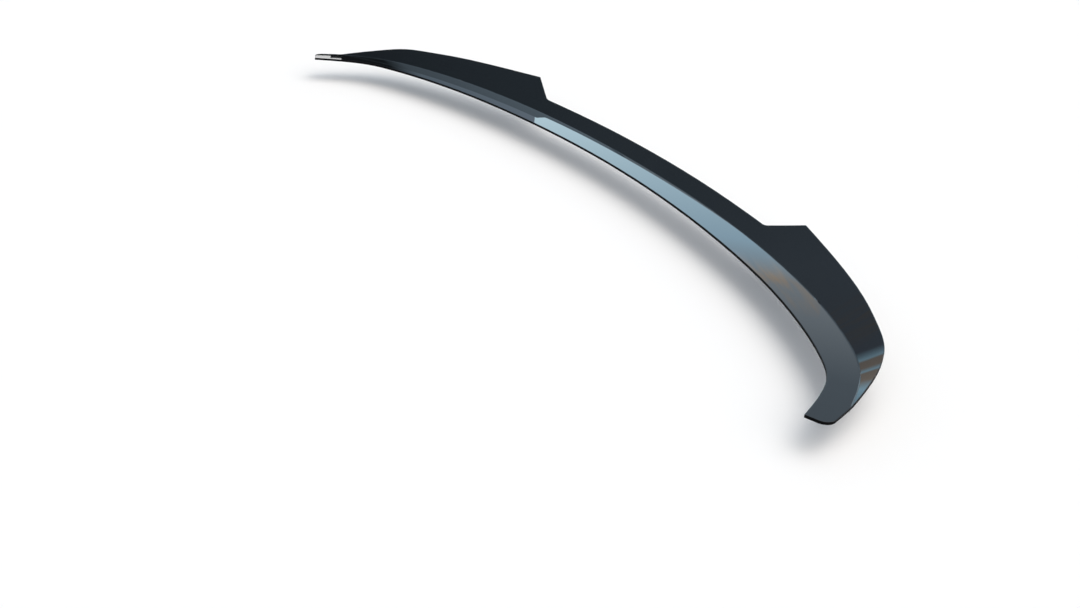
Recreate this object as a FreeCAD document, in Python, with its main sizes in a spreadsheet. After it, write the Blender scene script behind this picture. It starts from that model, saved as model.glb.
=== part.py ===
import FreeCAD, Part
import math
import os
import Sketcher

# A stick-on spoiler extension: a formed sheet with a flat base strip and an upturned lip, and the tape under it.
# X runs across the car, +Y towards its rear, +Z up. Z = 0 is the face that is stuck to the boot lid.

# Driving dimensions, in millimetres and degrees
SIZES = {
    "half_span": 560,
    "end_sweep": 189,
    "strip_width": 35,
    "lip_reach": 20,
    "horn_reach": 44,
    "lip_angle": 36,
    "sheet_thickness": 3,
    "fold_radius": 2,
    "notch_place": 240,
    "horn_place": 288,
    "notch_radius": 20,
    "horn_radius": 3,
    "end_radius": 12,
    "tape_inset": 8,
    "tape_width": 19,
    "tape_half_span": 552,
    "tape_thickness": 1.1,
    "liner_thickness": 0.2,
    "trim_stock": 10,
}

# Plan curves: each pole is a share of half_span along X and a share of end_sweep towards the front
FOLD_POLES = [(0, 0), (0.262, 0), (0.598, 0.164), (0.827, 0.428), (0.940, 0.630), (0.983, 0.800), (1.061, 1.139)]
LEAD_POLES = [(0, 0), (0.158, 0), (0.451, 0.098), (0.713, 0.308), (0.895, 0.558), (0.948, 0.690), (1, 1)]
MIDDLE_POLES = [(0, 0), (0.123, 0), (0.262, 0.018)]
# The notch's bottom and the horn's peak: place along X, reach from the strip, and share of end_sweep
NOTCH = ("notch_place", "lip_reach", 0.095)
HORN = ("horn_place", "horn_reach", 0.138)
# The rear edge also keeps a share of the strip and of the horn, which runs out at the end corner
REAR_POLES = [(0.719, 0.259, 0.85), (0.873, 0.413, 0.60), (0.957, 0.497, 0.40), (1.006, 0.730, 0.15)]
END_CORNER = (1.040, 0.951)


def make_sheet(doc):
    sheet = doc.addObject("Spreadsheet::Sheet", "sizes")
    for row, (alias, value) in enumerate(SIZES.items(), start=1):
        sheet.set(f"A{row}", alias)
        sheet.set(f"B{row}", str(value))
        sheet.setAlias(f"B{row}", alias)
    doc.recompute()
    return sheet


def total(**shares):
    """A length made of shares of the driving dimensions, as an expression and as a number."""
    terms = [f"{share} * sizes.{alias}" for alias, share in shares.items()]
    return " + ".join(terms), sum(share * SIZES[alias] for alias, share in shares.items())


def origin_feature(body, role):
    return next(feature for feature in body.Origin.OriginFeatures if feature.Role == role)


def new_body(doc, name):
    """A body whose origin is moved back from the front edge to the middle of the tape."""
    body = doc.addObject("PartDesign::Body", name)
    body.Label = name
    body.setExpression("Placement.Base.y", "-(sizes.tape_inset + sizes.tape_width / 2)")
    return body


def new_sketch(body, name, plane):
    sketch = body.newObject("Sketcher::SketchObject", name)
    sketch.AttachmentSupport = [(origin_feature(body, plane), "")]
    sketch.MapMode = "FlatFace"
    return sketch


def bind(sketch, kind, targets, length, factor=""):
    """Adds one dimension to a sketch and ties it to the sheet."""
    expression, value = length
    if kind == "Angle":
        value = FreeCAD.Units.Quantity(f"{value} deg").getValueAs("rad").Value
    index = sketch.addConstraint(Sketcher.Constraint(kind, *targets, value))
    sketch.setExpression(f"Constraints[{index}]", f"({expression}){factor}")


def place(sketch, geometry, vertex, x_length, y_length):
    """Fixes a point of a sketch by its distances from the origin."""
    bind(sketch, "DistanceX", (-1, 1, geometry, vertex), x_length)
    bind(sketch, "DistanceY", (-1, 1, geometry, vertex), y_length)


def add_curve(sketch, poles):
    """A smooth curve on poles that are each tied to the sheet."""
    curve = Part.BSplineCurve()
    curve.buildFromPoles([FreeCAD.Vector(x[1], y[1], 0) for x, y in poles], False, 3)
    index = sketch.addGeometry(curve, False)
    sketch.exposeInternalGeometry(index)
    for number, (x_length, y_length) in enumerate(poles, start=1):
        place(sketch, index + number, 3, x_length, y_length)
    return index


def point(lengths):
    return lengths[0][1], lengths[1][1]


def add_line(sketch, start, end):
    return sketch.addGeometry(Part.LineSegment(FreeCAD.Vector(*start, 0), FreeCAD.Vector(*end, 0)), False)


def join(sketch, *corners):
    for first, first_end, second, second_end in corners:
        sketch.addConstraint(Sketcher.Constraint("Coincident", first, first_end, second, second_end))


def fold_poles():
    return [(total(half_span=x), total(strip_width=1, end_sweep=-y)) for x, y in FOLD_POLES]


def lead_poles():
    return [(total(half_span=x), total(end_sweep=-y)) for x, y in LEAD_POLES]


def lip_corner(place_alias, reach_alias, drop):
    return total(**{place_alias: 1}), total(**{"strip_width": 1, reach_alias: 1, "end_sweep": -drop})


def add_rectangle(sketch, low, high):
    """A rectangle between two corners, each a pair of lengths."""
    (left, bottom), (right, top) = low, high
    corners = [(left[1], bottom[1]), (right[1], bottom[1]), (right[1], top[1]), (left[1], top[1])]
    sides = [add_line(sketch, corners[k], corners[(k + 1) % 4]) for k in range(4)]
    join(sketch, *[(sides[k], 2, sides[(k + 1) % 4], 1) for k in range(4)])
    for number, kind in enumerate(("Horizontal", "Vertical", "Horizontal", "Vertical")):
        sketch.addConstraint(Sketcher.Constraint(kind, sides[number]))
    place(sketch, sides[0], 1, left, bottom)
    place(sketch, sides[2], 1, right, top)


def draw_section(sketch):
    """The sheet's section at the middle: base strip, bend and lip, all of one thickness."""
    angle = math.radians(SIZES["lip_angle"])
    along = FreeCAD.Vector(math.cos(angle), math.sin(angle), 0)
    across = FreeCAD.Vector(-math.sin(angle), math.cos(angle), 0)
    inner, thick = SIZES["fold_radius"], SIZES["sheet_thickness"]
    base_height = total(tape_thickness=1, liner_thickness=1)
    lip_length = (
        "sizes.horn_reach / cos(sizes.lip_angle * 1 deg) + sizes.trim_stock",
        SIZES["horn_reach"] / math.cos(angle) + SIZES["trim_stock"],
    )
    front, bend = -SIZES["trim_stock"], SIZES["strip_width"]
    centre = FreeCAD.Vector(bend, base_height[1] + inner + thick, 0)
    start = -math.pi / 2
    axis = FreeCAD.Vector(0, 0, 1)
    lip_under = centre - across * (inner + thick)
    lip_over = centre - across * inner
    under_end = lip_under + along * lip_length[1]
    over_end = under_end + across * thick

    base_under = add_line(sketch, (front, base_height[1]), (bend, base_height[1]))
    outer_bend = sketch.addGeometry(Part.ArcOfCircle(Part.Circle(centre, axis, inner + thick), start, start + angle))
    lip_back = add_line(sketch, (lip_under.x, lip_under.y), (under_end.x, under_end.y))
    lip_edge = add_line(sketch, (under_end.x, under_end.y), (over_end.x, over_end.y))
    lip_face = add_line(sketch, (over_end.x, over_end.y), (lip_over.x, lip_over.y))
    inner_bend = sketch.addGeometry(Part.ArcOfCircle(Part.Circle(centre, axis, inner), start, start + angle))
    base_over = add_line(sketch, (bend, base_height[1] + thick), (front, base_height[1] + thick))
    base_edge = add_line(sketch, (front, base_height[1] + thick), (front, base_height[1]))

    for targets in ((base_under, 2, outer_bend, 1), (outer_bend, 2, lip_back, 1),
                    (lip_face, 2, inner_bend, 2), (inner_bend, 1, base_over, 1)):
        sketch.addConstraint(Sketcher.Constraint("Tangent", *targets))
    join(sketch, (lip_back, 2, lip_edge, 1), (lip_edge, 2, lip_face, 1), (base_over, 2, base_edge, 1),
         (base_edge, 2, base_under, 1), (outer_bend, 3, inner_bend, 3))
    sketch.addConstraint(Sketcher.Constraint("Horizontal", base_under))
    sketch.addConstraint(Sketcher.Constraint("Horizontal", base_over))
    sketch.addConstraint(Sketcher.Constraint("Vertical", base_edge))
    sketch.addConstraint(Sketcher.Constraint("Perpendicular", lip_back, lip_edge))
    sketch.addConstraint(Sketcher.Constraint("Parallel", lip_back, lip_face))
    place(sketch, base_under, 2, total(strip_width=1), base_height)
    bind(sketch, "DistanceX", (base_under, 1, -1, 1), total(trim_stock=1))
    bind(sketch, "DistanceY", (base_edge, 2, base_edge, 1), total(sheet_thickness=1))
    bind(sketch, "Radius", (inner_bend,), total(fold_radius=1))
    bind(sketch, "Angle", (lip_back,), total(lip_angle=1), " * 1 deg")
    bind(sketch, "Distance", (lip_back,), lip_length)


def draw_trim(sketch):
    """What is cut away round one half of the outline: front edge, end, rear edge with its horn, and notch."""
    horn, notch = lip_corner(*HORN), lip_corner(*NOTCH)
    corner = (total(half_span=END_CORNER[0]), total(end_sweep=-END_CORNER[1]))
    middle = [(total(half_span=x), total(strip_width=1, lip_reach=1, end_sweep=-y)) for x, y in MIDDLE_POLES]
    rear = [(total(half_span=x), total(strip_width=w, horn_reach=w, end_sweep=-y)) for x, y, w in REAR_POLES]
    lead = lead_poles()

    lead_curve = add_curve(sketch, lead)
    end_line = add_line(sketch, point(lead[-1]), point(corner))
    rear_curve = add_curve(sketch, [horn, *rear, corner])
    slope = add_line(sketch, point(notch), point(horn))
    middle_curve = add_curve(sketch, [*middle, notch])
    side = -SIZES["trim_stock"]
    front_line = add_line(sketch, (side, 0), (0, 0))
    rear_line = add_line(sketch, point(middle[0]), (side, middle[0][1][1]))
    side_line = add_line(sketch, (side, middle[0][1][1]), (side, 0))
    join(sketch, (front_line, 2, lead_curve, 1), (lead_curve, 2, end_line, 1), (end_line, 2, rear_curve, 2),
         (rear_curve, 1, slope, 2), (slope, 1, middle_curve, 2), (middle_curve, 1, rear_line, 1),
         (rear_line, 2, side_line, 1), (side_line, 2, front_line, 1))
    sketch.addConstraint(Sketcher.Constraint("Horizontal", front_line))
    sketch.addConstraint(Sketcher.Constraint("Horizontal", rear_line))
    sketch.addConstraint(Sketcher.Constraint("Vertical", side_line))
    bind(sketch, "Distance", (front_line,), total(trim_stock=1))
    add_rectangle(
        sketch,
        (total(trim_stock=-2), total(end_sweep=-1, strip_width=-1, trim_stock=-4)),
        (total(half_span=1, horn_reach=1, trim_stock=6), total(strip_width=1, horn_reach=1, trim_stock=4)),
    )


def sweep(body, section, path):
    pipe = body.newObject("PartDesign::AdditivePipe", "formed_half")
    pipe.Profile = section
    pipe.Spine = path
    return pipe


def cut(body, sketch):
    pocket = body.newObject("PartDesign::Pocket", "trimmed_half")
    pocket.Profile = sketch
    pocket.Type = "ThroughAll"
    pocket.SideType = "Symmetric"
    return pocket


def mirror(doc, body):
    doc.recompute()
    mirrored = body.newObject("PartDesign::Mirrored", "both_halves")
    mirrored.TransformMode = "Whole shape"
    mirrored.MirrorPlane = (origin_feature(body, "YZ_Plane"), [""])
    body.Tip = mirrored


def round_corner(doc, body, base, corner_x, radius_alias):
    """Rounds the upright edge of the trimmed sheet that stands at one place along X."""
    doc.recompute()
    upright = []
    for number, edge in enumerate(base.Shape.Edges, start=1):
        box = edge.BoundBox
        if max(box.XLength, box.YLength, abs(box.XMin - corner_x[1])) < 0.1:
            upright.append(f"Edge{number}")
    fillet = body.newObject("PartDesign::Fillet", f"{radius_alias}_round")
    fillet.Base = (base, upright)
    fillet.setExpression("Radius", f"sizes.{radius_alias}")
    return fillet


def make_shell(doc):
    body = new_body(doc, "spoiler_shell")
    path = new_sketch(body, "fold_path", "XY_Plane")
    add_curve(path, fold_poles())
    section = new_sketch(body, "sheet_section", "YZ_Plane")
    draw_section(section)
    sweep(body, section, path)
    trim = new_sketch(body, "trim_outline", "XY_Plane")
    draw_trim(trim)
    trimmed = cut(body, trim)
    rounded = round_corner(doc, body, trimmed, total(notch_place=1), "notch_radius")
    rounded = round_corner(doc, body, rounded, total(horn_place=1), "horn_radius")
    round_corner(doc, body, rounded, total(half_span=END_CORNER[0]), "end_radius")
    mirror(doc, body)
    return body


def make_strip(doc, name, low, high):
    """A flat strip that follows the front edge, between two heights."""
    body = new_body(doc, name)
    path = new_sketch(body, f"{name}_path", "XY_Plane")
    add_curve(path, lead_poles())
    section = new_sketch(body, f"{name}_section", "YZ_Plane")
    add_rectangle(section, (total(tape_inset=1), low), (total(tape_inset=1, tape_width=1), high))
    sweep(body, section, path)
    ends = new_sketch(body, f"{name}_ends", "XY_Plane")
    add_rectangle(
        ends,
        (total(tape_half_span=1), total(end_sweep=-2)),
        (total(half_span=1, end_sweep=1), total(strip_width=1, horn_reach=1)),
    )
    cut(body, ends)
    mirror(doc, body)
    return body


def export(doc, bodies):
    doc.recompute()
    for item in doc.Objects:
        if {"Invalid", "Error"} & set(item.State):
            raise RuntimeError(f"{item.Name} failed: {item.State}")
    for body in bodies:
        if body.Shape.isNull() or not body.Shape.isValid() or len(body.Shape.Solids) != 1:
            raise RuntimeError(f"{body.Name} is not one sound solid")
    os.makedirs("parts", exist_ok=True)
    for body in bodies:
        body.Shape.exportStep(f"parts/{body.Label}.step")
        box = body.Shape.optimalBoundingBox()
        print(body.Label, f"{box.XLength:.1f} x {box.YLength:.1f} x {box.ZLength:.1f} mm,",
              f"{body.Shape.Volume / 1000:.1f} cm3")


def main():
    doc = FreeCAD.newDocument("spoiler_extension")
    make_sheet(doc)
    nothing, liner_top = total(liner_thickness=0), total(liner_thickness=1)
    tape_top = total(liner_thickness=1, tape_thickness=1)
    bodies = [
        make_shell(doc),
        make_strip(doc, "adhesive_tape", liner_top, tape_top),
        make_strip(doc, "release_liner", nothing, liner_top),
    ]
    export(doc, bodies)


main()
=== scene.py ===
# %% [markdown]
# # A stick-on spoiler extension
# The part is a long, low lip for the rear edge of a boot lid. It is one formed sheet of gloss black
# plastic, with a strip of foam tape under it and a red film over the tape. The solids come packed from
# the drawing, so this lesson gives them their finishes, then a floor, light and a camera.

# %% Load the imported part
import math
import bpy
from mathutils import Matrix, Vector


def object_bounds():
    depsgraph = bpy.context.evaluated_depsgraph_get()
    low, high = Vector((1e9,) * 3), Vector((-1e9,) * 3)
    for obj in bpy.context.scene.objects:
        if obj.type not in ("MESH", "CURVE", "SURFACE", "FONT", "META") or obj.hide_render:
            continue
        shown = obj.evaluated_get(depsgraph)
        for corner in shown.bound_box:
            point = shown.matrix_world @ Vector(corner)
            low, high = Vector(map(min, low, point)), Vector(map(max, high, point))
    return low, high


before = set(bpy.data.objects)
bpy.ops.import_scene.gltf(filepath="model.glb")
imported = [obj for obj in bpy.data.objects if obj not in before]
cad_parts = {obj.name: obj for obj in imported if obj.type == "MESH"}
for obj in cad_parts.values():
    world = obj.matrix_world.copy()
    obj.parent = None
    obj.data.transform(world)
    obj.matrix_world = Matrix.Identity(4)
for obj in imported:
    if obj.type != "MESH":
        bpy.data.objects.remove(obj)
cad_box = [list(corner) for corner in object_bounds()]
MM = 0.001
print("nodes:", sorted(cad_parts), "box:", cad_box)

# %% [markdown]
# ## Small helpers
# Colours are picked as sRGB hex values, but the renderer adds up light in linear values. One function
# turns the first into the second. Another adds a shader node, sets it and links it, so that each finish
# below reads as a short list of nodes. The last two start an empty material and put a material on a node
# of the part.

# %% Helpers for colour and nodes
def linear(hex_colour):
    channels = [int(hex_colour[start:start + 2], 16) / 255 for start in (1, 3, 5)]
    return tuple(c / 12.92 if c <= 0.04045 else ((c + 0.055) / 1.055) ** 2.4 for c in channels) + (1.0,)


def add_node(tree, kind, inputs=None, **settings):
    """Adds one node. An input that is a socket is linked, and any other is set."""
    node = tree.nodes.new(kind)
    for name, value in settings.items():
        setattr(node, name, value)
    for name, value in (inputs or {}).items():
        if isinstance(value, bpy.types.NodeSocket):
            tree.links.new(value, node.inputs[name])
        else:
            node.inputs[name].default_value = value
    return node


def new_material(name):
    material = bpy.data.materials.new(name)
    material.use_nodes = True
    material.node_tree.nodes.clear()
    return material, material.node_tree


def finish(node_name, material):
    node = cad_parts[node_name]
    node.data.materials.clear()
    node.data.materials.append(material)
    print(node_name, "is", material.name, "with", len(node.data.polygons), "faces")


print("mid grey reads as", [round(c, 3) for c in linear("#808080")])

# %% [markdown]
# ## The sheet: gloss black ABS, vacuum formed
# The sheet leaves the extruder with a polished face and a plain back, and forming keeps both: the face
# that is seen on the car is near to a mirror, and the back is satin. The trimmed edge is sawn, so it is
# dull. Its colour is painted darker still, a painted dark reflection that draws a black line along it,
# and its shine is kept lower than that of ABS to draw that black line. Painted masks could tell the
# three apart, but the surface's own direction is enough: what looks up is face, what looks down is back,
# and upright walls are edge. Forming leaves the face slightly wavy over a hand's width, which a bump
# gives. The edges are broken by less than a millimetre, which a bevel node gives.

# %% Gloss black ABS
# The edge colour is the sawn edge's dull black, painted darker as a painted dark reflection that draws a
# black line
FACE_COLOUR, SAWN_EDGE_AND_PAINTED_DARK_REFLECTION, BACK_COLOUR = "#111417", "#050506", "#1d2227"
EDGE_ROUGHNESS, BACK_ROUGHNESS = 0.6, 0.46
POLISH_LOW, POLISH_HIGH = 0.006, 0.014
EDGE_SHINE, FULL_SHINE = 0.05, 0.5
ABS_IOR = 1.53
FACE_TILT = 0.3
EDGE_BREAK = 0.7 * MM
WAVE_LENGTH, WAVE_DEPTH, WAVE_STRENGTH = 120 * MM, 0.4 * MM, 0.04
GRAIN_SIZE, GRAIN_DEPTH, GRAIN_STRENGTH = 0.5 * MM, 0.05 * MM, 0.35


def formed_black_abs():
    material, tree = new_material("gloss_black_abs_vacuum_formed")
    place = add_node(tree, "ShaderNodeTexCoord").outputs["Object"]
    normal = add_node(tree, "ShaderNodeNewGeometry").outputs["True Normal"]
    upward = add_node(tree, "ShaderNodeSeparateXYZ", {"Vector": normal}).outputs["Z"]
    face = add_node(tree, "ShaderNodeMath", {
        0: upward, 1: FACE_TILT}, operation="GREATER_THAN").outputs["Value"]
    back = add_node(tree, "ShaderNodeMath", {
        0: upward, 1: -FACE_TILT}, operation="LESS_THAN").outputs["Value"]
    waves = add_node(tree, "ShaderNodeTexNoise", {"Vector": place, "Scale": 1 / WAVE_LENGTH, "Detail": 1.0})
    grain = add_node(tree, "ShaderNodeTexNoise", {"Vector": place, "Scale": 1 / GRAIN_SIZE, "Detail": 2.0})

    polish = add_node(tree, "ShaderNodeMapRange", {
        "Value": waves.outputs["Fac"], "To Min": POLISH_LOW, "To Max": POLISH_HIGH})
    rough = add_node(tree, "ShaderNodeMix", {"Factor": back, "A": EDGE_ROUGHNESS, "B": BACK_ROUGHNESS})
    rough = add_node(tree, "ShaderNodeMix", {
        "Factor": face, "A": rough.outputs["Result"], "B": polish.outputs["Result"]})
    colour = add_node(tree, "ShaderNodeMix", {
        "Factor": back, "A": linear(SAWN_EDGE_AND_PAINTED_DARK_REFLECTION), "B": linear(BACK_COLOUR)}, data_type="RGBA")
    colour = add_node(tree, "ShaderNodeMix", {
        "Factor": face, "A": colour.outputs["Result"], "B": linear(FACE_COLOUR)}, data_type="RGBA")
    smooth = add_node(tree, "ShaderNodeMath", {0: face, 1: back}, operation="ADD").outputs["Value"]
    shine = add_node(tree, "ShaderNodeMix", {"Factor": smooth, "A": EDGE_SHINE, "B": FULL_SHINE})

    broken = add_node(tree, "ShaderNodeBevel", {"Radius": EDGE_BREAK}, samples=6)
    wavy = add_node(tree, "ShaderNodeBump", {
        "Height": waves.outputs["Fac"], "Strength": WAVE_STRENGTH, "Distance": WAVE_DEPTH,
        "Normal": broken.outputs["Normal"]})
    dull = add_node(tree, "ShaderNodeMapRange", {"Value": face, "To Min": GRAIN_STRENGTH, "To Max": 0.0})
    grainy = add_node(tree, "ShaderNodeBump", {
        "Height": grain.outputs["Fac"], "Strength": dull.outputs["Result"], "Distance": GRAIN_DEPTH,
        "Normal": wavy.outputs["Normal"]})
    shader = add_node(tree, "ShaderNodeBsdfPrincipled", {
        "Base Color": colour.outputs["Result"], "Roughness": rough.outputs["Result"],
        "Normal": grainy.outputs["Normal"], "Specular IOR Level": shine.outputs["Result"], "IOR": ABS_IOR})
    add_node(tree, "ShaderNodeOutputMaterial", {"Surface": shader.outputs["BSDF"]})
    return material


finish("spoiler_shell", formed_black_abs())

# %% [markdown]
# ## The tape: black acrylic foam
# Only the cut sides of the foam show, as a thin dark line between the sheet and the red film. Closed
# cells a few tenths of a millimetre wide give it a dull, slightly pitted look. A cell pattern makes both
# the pits and a painted shade, darker towards the bottom of each pit, so that they lie in the same places.

# %% Acrylic foam tape
FOAM_PAINTED_PIT_SHADE, FOAM_PALE = "#17181a", "#34363a"
FOAM_ROUGHNESS, FOAM_IOR = 0.8, 1.47
FOAM_CELL, PIT_DEPTH, PIT_STRENGTH = 0.4 * MM, 0.1 * MM, 0.5


def acrylic_foam():
    material, tree = new_material("black_acrylic_foam_cut")
    place = add_node(tree, "ShaderNodeTexCoord").outputs["Object"]
    cells = add_node(tree, "ShaderNodeTexVoronoi", {"Vector": place, "Scale": 1 / FOAM_CELL})
    colour = add_node(tree, "ShaderNodeValToRGB", {"Fac": cells.outputs["Distance"]})
    # Painted shade: the cell centres, where the pits are deepest, take the darker colour
    colour.color_ramp.elements[0].color = linear(FOAM_PAINTED_PIT_SHADE)
    colour.color_ramp.elements[1].color = linear(FOAM_PALE)
    pits = add_node(tree, "ShaderNodeBump", {
        "Height": cells.outputs["Distance"], "Strength": PIT_STRENGTH, "Distance": PIT_DEPTH})
    shader = add_node(tree, "ShaderNodeBsdfPrincipled", {
        "Base Color": colour.outputs["Color"], "Roughness": FOAM_ROUGHNESS, "Normal": pits.outputs["Normal"],
        "IOR": FOAM_IOR})
    add_node(tree, "ShaderNodeOutputMaterial", {"Surface": shader.outputs["BSDF"]})
    return material


finish("adhesive_tape", acrylic_foam())

# %% [markdown]
# ## The liner: red polyethylene film
# The film is pulled off when the part is fitted. It is dyed through, has a soft sheen, and lies over the
# foam with faint ripples a few centimetres long. The ripples are too shallow to need geometry, so a bump
# gives them.

# %% Red release film
FILM_DARK, FILM_PALE = "#e23a4d", "#ef5064"
FILM_SMOOTH, FILM_ROUGH, FILM_IOR = 0.32, 0.48, 1.51
RIPPLE_LENGTH, RIPPLE_DEPTH, RIPPLE_STRENGTH = 30 * MM, 0.3 * MM, 0.3


def red_film():
    material, tree = new_material("red_polyethylene_film_cast")
    place = add_node(tree, "ShaderNodeTexCoord").outputs["Object"]
    ripple = add_node(tree, "ShaderNodeTexNoise", {
        "Vector": place, "Scale": 1 / RIPPLE_LENGTH, "Detail": 2.0})
    colour = add_node(tree, "ShaderNodeValToRGB", {"Fac": ripple.outputs["Fac"]})
    colour.color_ramp.elements[0].color = linear(FILM_DARK)
    colour.color_ramp.elements[1].color = linear(FILM_PALE)
    rough = add_node(tree, "ShaderNodeMapRange", {
        "Value": ripple.outputs["Fac"], "To Min": FILM_SMOOTH, "To Max": FILM_ROUGH})
    bump = add_node(tree, "ShaderNodeBump", {
        "Height": ripple.outputs["Fac"], "Strength": RIPPLE_STRENGTH, "Distance": RIPPLE_DEPTH})
    shader = add_node(tree, "ShaderNodeBsdfPrincipled", {
        "Base Color": colour.outputs["Color"], "Roughness": rough.outputs["Result"],
        "Normal": bump.outputs["Normal"], "IOR": FILM_IOR})
    add_node(tree, "ShaderNodeOutputMaterial", {"Surface": shader.outputs["BSDF"]})
    return material


finish("release_liner", red_film())
# The film sends no light on to the floor, so the shadow stays a plain grey, as in the photograph
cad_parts["release_liner"].visible_diffuse = False

# %% [markdown]
# ## The floor
# A wide white floor is the whole background, because the camera looks down on the part. It is plain matt
# white, so it takes the part's shadow. The part is shown a little above it, as in the photograph, and
# that is what makes the shadow broad and soft. Seen from below the floor is clear, so that the underside
# can be looked at.

# %% White floor
FLOOR_SIZE = 60.0
FLOOR_DROP = 30 * MM
FLOOR_COLOUR = "#fbfbfb"


def white_floor():
    bpy.ops.mesh.primitive_plane_add(size=FLOOR_SIZE, location=(0, 0, cad_box[0][2] - FLOOR_DROP))
    floor = bpy.context.object
    floor.name = "floor"
    material, tree = new_material("matt_white_paper")
    paper = add_node(tree, "ShaderNodeBsdfDiffuse", {"Color": linear(FLOOR_COLOUR)})
    clear = add_node(tree, "ShaderNodeBsdfTransparent")
    below = add_node(tree, "ShaderNodeNewGeometry").outputs["Backfacing"]
    shader = add_node(tree, "ShaderNodeMixShader", {
        0: below, 1: paper.outputs["BSDF"], 2: clear.outputs["BSDF"]})
    add_node(tree, "ShaderNodeOutputMaterial", {"Surface": shader.outputs["Shader"]})
    floor.data.materials.append(material)
    return floor


print("floor at", white_floor().location.z)

# %% [markdown]
# ## What the gloss mirrors
# Gloss black shows hardly any colour of its own: the eye reads its shape from what it mirrors. A picture
# of a real room could stand round the part, but a room painted by direction needs no file and says where
# each reflection comes from. A direction has a height, in degrees above the floor, and a bearing, in
# degrees round from the part's left side towards its rear. The room is a dim blue grey, darker overhead,
# and the lip mirrors that. Low behind the part is a dark wall with a pale sky above it: the flat strip
# mirrors the wall on its left and the sky from the middle on. Bands of blue and brown left of the wall
# show in the turned end of the lip, and the panel is seen by way of the lip.

# %% Colours of the room
ROOM_GLOW = 3.7
BLUE, BROWN, WHITE = "#88aabc", "#807870", "#d8d8d8"
# At the room's glow this grey is just white, so the floor has no far edge
HORIZON = "#8e8e8e"
DIM = {25: "#48505a", 36: "#505a64", 44: "#3c464e", 80: "#2c343c"}
BANDS = {4: "#5c7888", 7: BLUE, 10: BROWN, 14: BROWN, 15: BLUE, 17: BROWN, 20: BROWN, 21: BLUE, 24: "#48505a"}
SKY = {18: "#c4e0ec", 22.5: "#a4c4d8", 24: "#909aa2", 28: "#68747e"}
WALL = {25.5: "#080808", 27: "#505c66", 33: "#66727e"}
HAZE = {25: "#48505a", 29: "#5a5650", 33: "#4e5660"}
CLOUD = {23: "#a0bcd0", 24: "#b4a088", 25.5: "#808c96"}
PANEL = {44: "#70808c", 50: "#141818"}
print("the sky starts at", min(SKY), "degrees and the wall's paint at", min(WALL))

# %% [markdown]
# ## The parts of the room
# Each part is a box of bearings and heights, and it covers the parts before it. Its colours blend along
# one of the two angles. A list keeps all of it in one place, where a reflection can be moved by changing
# one number.

# %% Parts of the room
# Name, bearings, heights, the angle that the colours follow, the colours, and how the paint covers
ROOM = [
    ("room", (-180, 180), (-90, 90), "height", DIM, "whole"),
    ("horizon", (-180, 180), (-90, 3), "height", {0: HORIZON, 3: HORIZON}, "whole"),
    ("haze", (2, 9), (25, 33), "height", HAZE, "streaks"),
    ("near bands", (8, 20.5), (3, 24), "height", BANDS, "whole"),
    ("low bands", (8, 30), (3, 14), "height", BANDS, "whole"),
    ("wall", (20.5, 60), (14, 18.3), "bearing", WALL, "whole"),
    ("window", (20.5, 22.7), (15.9, 18.3), "bearing", {20: WHITE, 24: WHITE}, "whole"),
    ("window corner", (22.7, 23.2), (16, 18.3), "bearing", {20: WHITE, 24: WHITE}, "whole"),
    ("sky", (32.6, 75), (18, 34), "height", SKY, "whole"),
    ("sky over the wall", (27, 32.6), (18.7, 27), "height", SKY, "whole"),
    ("cloud", (42, 48), (23, 25.5), "height", CLOUD, "streaks"),
    ("panel", (11.5, 33), (27.5, 56), "height", PANEL, "whole"),
]
print("the room has", len(ROOM), "painted parts")

# %% [markdown]
# ## Painting the room
# The background shader knows only a direction, so nodes first turn it into a bearing and a height. Then
# a loop lays the parts over each other. Streaks are a noise drawn out along a slant, for cloud and haze,
# and they let some of what lies below show through.

# %% The painted room
STREAK_SLANT, STREAKS_ACROSS, STREAKS_ALONG = 1.2, 2.0, 0.6
STREAK_START, STREAK_FULL = 0.42, 0.65


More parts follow.
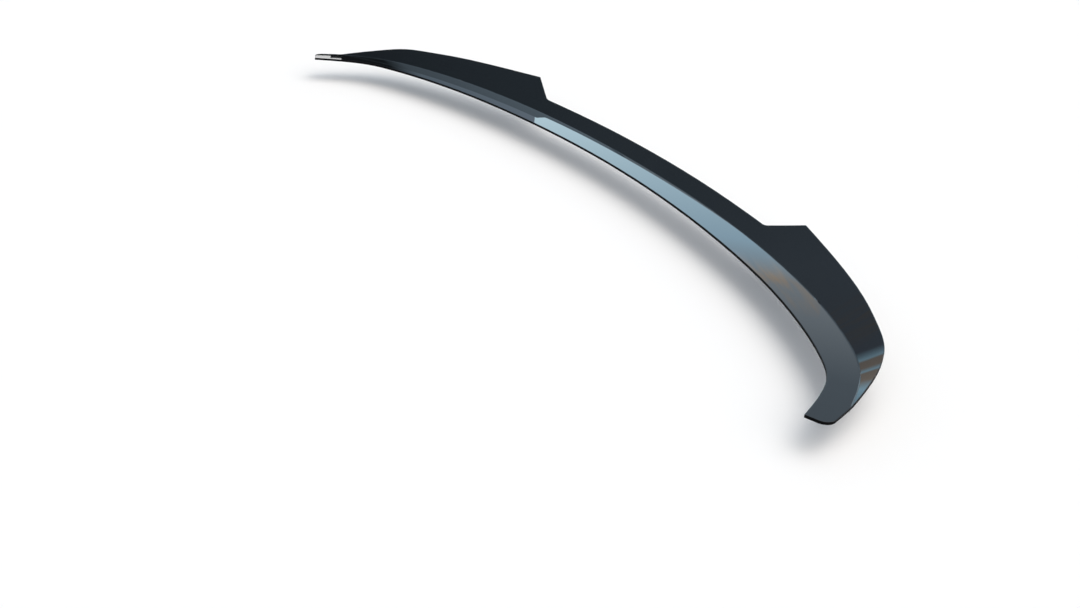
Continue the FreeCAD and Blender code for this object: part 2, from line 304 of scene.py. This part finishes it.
def painted_room():
    world = bpy.data.worlds.new("painted_room")
    world.use_nodes = True
    tree = world.node_tree
    tree.nodes.clear()
    way = add_node(tree, "ShaderNodeTexCoord").outputs["Generated"]
    along = add_node(tree, "ShaderNodeSeparateXYZ", {"Vector": way}).outputs
    left = add_node(tree, "ShaderNodeMath", {0: along["X"], 1: -1.0}, operation="MULTIPLY").outputs["Value"]
    turned = add_node(tree, "ShaderNodeMath", {0: along["Y"], 1: left}, operation="ARCTAN2").outputs["Value"]
    raised = add_node(tree, "ShaderNodeMath", {0: along["Z"]}, operation="ARCSINE").outputs["Value"]
    bearing = add_node(tree, "ShaderNodeMath", {0: turned}, operation="DEGREES").outputs["Value"]
    height = add_node(tree, "ShaderNodeMath", {0: raised}, operation="DEGREES").outputs["Value"]
    angles = {"bearing": bearing, "height": height}

    slant = add_node(tree, "ShaderNodeMath", {
        0: height, 1: -STREAK_SLANT, 2: bearing}, operation="MULTIPLY_ADD")
    flat = add_node(tree, "ShaderNodeCombineXYZ", {"X": slant.outputs["Value"], "Y": height})
    drawn = add_node(tree, "ShaderNodeVectorMath", {
        0: flat.outputs["Vector"], 1: (STREAKS_ACROSS, STREAKS_ALONG, 0)}, operation="MULTIPLY")
    noise = add_node(tree, "ShaderNodeTexNoise", {
        "Vector": drawn.outputs["Vector"], "Scale": 1.0, "Detail": 3.0})
    streaks = add_node(tree, "ShaderNodeMapRange", {
        "Value": noise.outputs["Fac"], "From Min": STREAK_START, "From Max": STREAK_FULL})
    covers = {"whole": 1.0, "streaks": streaks.outputs["Result"]}

    colour = linear("#000000")
    for name, bearings, heights, follows, stops, cover in ROOM:
        inside = covers[cover]
        for angle, (start, end) in ((bearing, bearings), (height, heights)):
            between = add_node(tree, "ShaderNodeMath", {
                0: angle, 1: (start + end) / 2, 2: (end - start) / 2}, operation="COMPARE")
            inside = add_node(tree, "ShaderNodeMath", {
                0: between.outputs["Value"], 1: inside}, operation="MULTIPLY").outputs["Value"]
        first, last = min(stops), max(stops)
        share = add_node(tree, "ShaderNodeMapRange", {
            "Value": angles[follows], "From Min": first, "From Max": last})
        paint = add_node(tree, "ShaderNodeValToRGB", {"Fac": share.outputs["Result"]}, label=name)
        paint.color_ramp.elements[0].color = linear(stops[first])
        paint.color_ramp.elements[1].color = linear(stops[last])
        for degrees in sorted(stops)[1:-1]:
            stop = paint.color_ramp.elements.new((degrees - first) / (last - first))
            stop.color = linear(stops[degrees])
        colour = add_node(tree, "ShaderNodeMix", {
            "Factor": inside, "A": colour, "B": paint.outputs["Color"]}, data_type="RGBA").outputs["Result"]

    glow = add_node(tree, "ShaderNodeBackground", {"Color": colour, "Strength": ROOM_GLOW})
    add_node(tree, "ShaderNodeOutputWorld", {"Surface": glow.outputs["Background"]})
    bpy.context.scene.world = world
    return world


print("the room is made of", len(painted_room().node_tree.nodes), "nodes")

# %% [markdown]
# ## The lamps
# The floor and the shadow need real light. The main lamp is wide and stands high behind the part, where
# no gloss face mirrors it to the camera, so the shadow falls below the part and to its near side. Two
# wider ones, from the side and the front, keep that shadow pale, and are slightly warm, because the room
# is blue. All are far away, so that the floor is equally white all over.

# %% Lamps
def far_lamp(name, bearing, height, spread, strength, colour):
    """A far lamp. Its bearing is in degrees from the part's right side towards its rear."""
    lamp = bpy.data.lights.new(name, "SUN")
    lamp.angle = math.radians(spread)
    lamp.energy = strength
    lamp.color = linear(colour)[:3]
    level = math.cos(math.radians(height))
    place = Vector((level * math.cos(math.radians(bearing)), level * math.sin(math.radians(bearing)),
                    math.sin(math.radians(height))))
    holder = bpy.data.objects.new(name, lamp)
    holder.location = place
    holder.rotation_euler = place.to_track_quat("Z", "Y").to_euler()
    bpy.context.collection.objects.link(holder)
    print(name, "has strength", strength)


far_lamp("behind", bearing=100, height=64, spread=55, strength=0.85, colour="#ffffff")
far_lamp("side", bearing=40, height=50, spread=80, strength=1.2, colour="#fff3e6")
far_lamp("front", bearing=-30, height=50, spread=80, strength=1.2, colour="#fff3e6")

# %% [markdown]
# ## The camera
# It stands to the front right of the part and looks down on it, as in the photograph. Its place, aim and
# lens were worked out from the outlines there. An aim by two directions keeps the slight roll, which a
# target point wouldn't.

# %% Camera
CAMERA_PLACE = Vector((1.1878, -0.9117, 0.5453))
CAMERA_AHEAD = Vector((-0.74295, 0.49627, -0.44916))
CAMERA_UP = Vector((-0.42607, 0.16689, 0.88916))
LENS_MM = 40.7

right = CAMERA_AHEAD.cross(CAMERA_UP).normalized()
up = right.cross(CAMERA_AHEAD).normalized()
camera_data = bpy.data.cameras.new("camera")
camera_data.lens = LENS_MM
camera = bpy.data.objects.new("camera", camera_data)
turn = Matrix((right, up, -CAMERA_AHEAD.normalized())).transposed().to_4x4()
camera.matrix_world = Matrix.Translation(CAMERA_PLACE) @ turn
bpy.context.collection.objects.link(camera)
bpy.context.scene.camera = camera
bpy.context.scene.view_settings.view_transform = "Standard"
print("camera at", tuple(round(c, 3) for c in camera.location))
